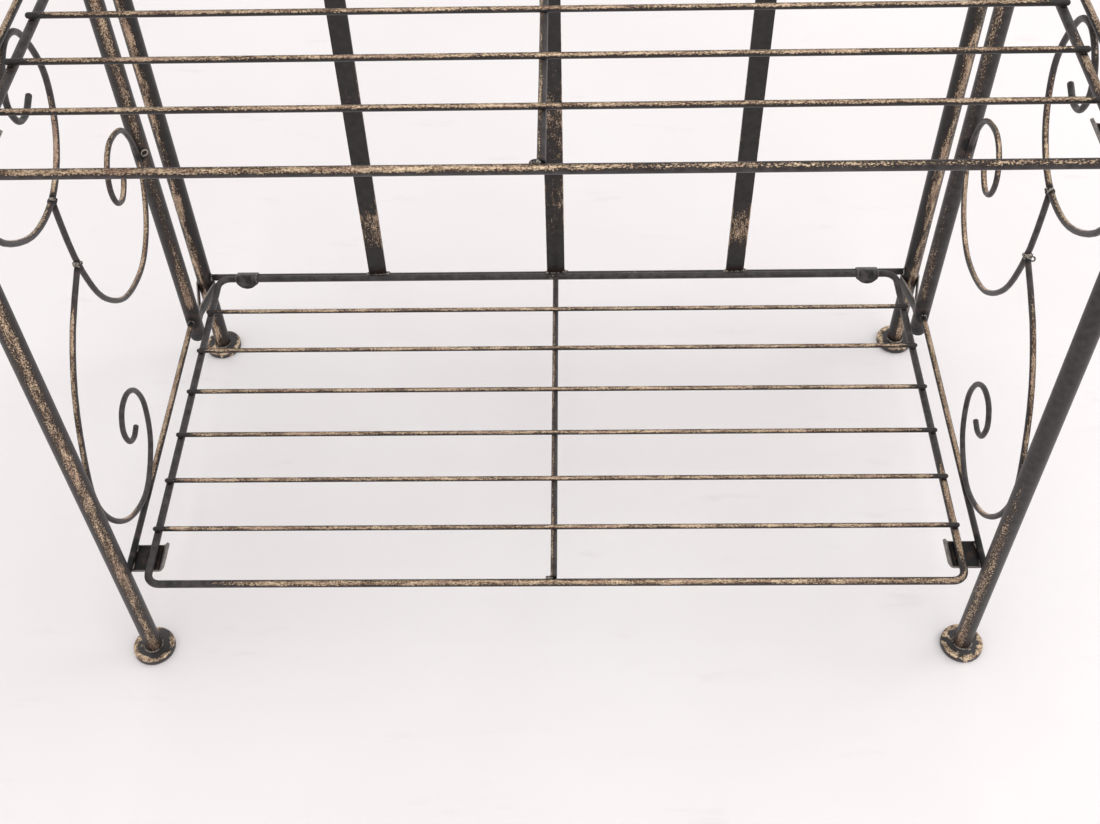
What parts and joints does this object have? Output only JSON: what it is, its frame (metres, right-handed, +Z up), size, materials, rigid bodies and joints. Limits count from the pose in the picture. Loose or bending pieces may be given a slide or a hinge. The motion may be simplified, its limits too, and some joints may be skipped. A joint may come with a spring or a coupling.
{
  "type": "metal shelving unit",
  "caption": "Free-standing folding metal shelving unit: wire shelves hinged to a slatted back frame and hooked on scrolled side frames with arched tube tops.",
  "frame": {"origin": "middle of the footprint on the floor, under the unit's bounding box", "axes": "+X along the shelves to the right seen from the front, -Y to the front, +Z up"},
  "size_m": [0.681, 0.369, 1.285],
  "materials": {
    "tubes": "rubbed bronze over near-black paint, satin",
    "rods": "rubbed bronze over near-black paint, satin",
    "scroll_wire": "bronze rubbed through near-black paint, satin",
    "back_grilles": "rubbed bronze over near-black paint, satin",
    "sheet_fittings": "near-black paint, satin",
    "feet": "aged brass colour over dark paint, satin",
    "plugs": "matt black"
  },
  "bodies": {
    "back_frame": {"back_frame_tube": "tubes", "left_back_foot": "feet", "right_back_foot": "feet", "back_grille_1": "back_grilles", "shelf_1_left_sleeve": "sheet_fittings", "shelf_1_right_sleeve": "sheet_fittings", "back_grille_2": "back_grilles", "shelf_2_left_sleeve": "sheet_fittings", "shelf_2_right_sleeve": "sheet_fittings", "back_grille_3": "back_grilles", "shelf_3_left_sleeve": "sheet_fittings", "shelf_3_right_sleeve": "sheet_fittings"},
    "left_side_frame": {"left_side_tube": "tubes", "left_front_foot": "feet", "left_post_cap": "plugs", "left_hinge_strap_1": "sheet_fittings", "left_side_rail_1": "rods", "left_hook_1": "sheet_fittings", "left_scroll_1_lower": "scroll_wire", "left_scroll_1_middle": "scroll_wire", "left_scroll_1_upper": "scroll_wire", "left_hinge_strap_2": "sheet_fittings", "left_side_rail_2": "rods", "left_hook_2": "sheet_fittings", "left_scroll_2_lower": "scroll_wire", "left_scroll_2_middle": "scroll_wire", "left_scroll_2_upper": "scroll_wire", "left_hinge_strap_3": "sheet_fittings", "left_side_rail_3": "rods", "left_hook_3": "sheet_fittings", "left_scroll_3_lower": "scroll_wire", "left_scroll_3_middle": "scroll_wire", "left_scroll_3_upper": "scroll_wire"},
    "right_side_frame": {"right_side_tube": "tubes", "right_front_foot": "feet", "right_post_cap": "plugs", "right_hinge_strap_1": "sheet_fittings", "right_side_rail_1": "rods", "right_hook_1": "sheet_fittings", "right_scroll_1_lower": "scroll_wire", "right_scroll_1_middle": "scroll_wire", "right_scroll_1_upper": "scroll_wire", "right_hinge_strap_2": "sheet_fittings", "right_side_rail_2": "rods", "right_hook_2": "sheet_fittings", "right_scroll_2_lower": "scroll_wire", "right_scroll_2_middle": "scroll_wire", "right_scroll_2_upper": "scroll_wire", "right_hinge_strap_3": "sheet_fittings", "right_side_rail_3": "rods", "right_hook_3": "sheet_fittings", "right_scroll_3_lower": "scroll_wire", "right_scroll_3_middle": "scroll_wire", "right_scroll_3_upper": "scroll_wire"},
    "shelf_1": {"shelf_1_frame": "rods", "shelf_1_grid": "rods"},
    "shelf_2": {"shelf_2_frame": "rods", "shelf_2_grid": "rods"},
    "shelf_3": {"shelf_3_frame": "rods", "shelf_3_grid": "rods"}
  },
  "joints": [
    {"name": "shelf_1_fold", "type": "hinge", "parent": "back_frame", "child": "shelf_1", "pos_m": [0, 0.16239, 0.095], "axis": [-1, 0, 0], "range_deg": [0, 86]},
    {"name": "shelf_2_fold", "type": "hinge", "parent": "back_frame", "child": "shelf_2", "pos_m": [0, 0.16239, 0.488], "axis": [-1, 0, 0], "range_deg": [0, 86]},
    {"name": "shelf_3_fold", "type": "hinge", "parent": "back_frame", "child": "shelf_3", "pos_m": [0, 0.16239, 0.881], "axis": [-1, 0, 0], "range_deg": [0, 86]},
    {"name": "left_side_swing", "type": "hinge", "parent": "back_frame", "child": "left_side_frame", "pos_m": [-0.324, 0.168, 0], "axis": [0, 0, 1], "range_deg": [-0.75, 1.3]},
    {"name": "right_side_swing", "type": "hinge", "parent": "back_frame", "child": "right_side_frame", "pos_m": [0.324, 0.168, 0], "axis": [0, 0, -1], "range_deg": [-0.75, 1.3]}
  ]
}
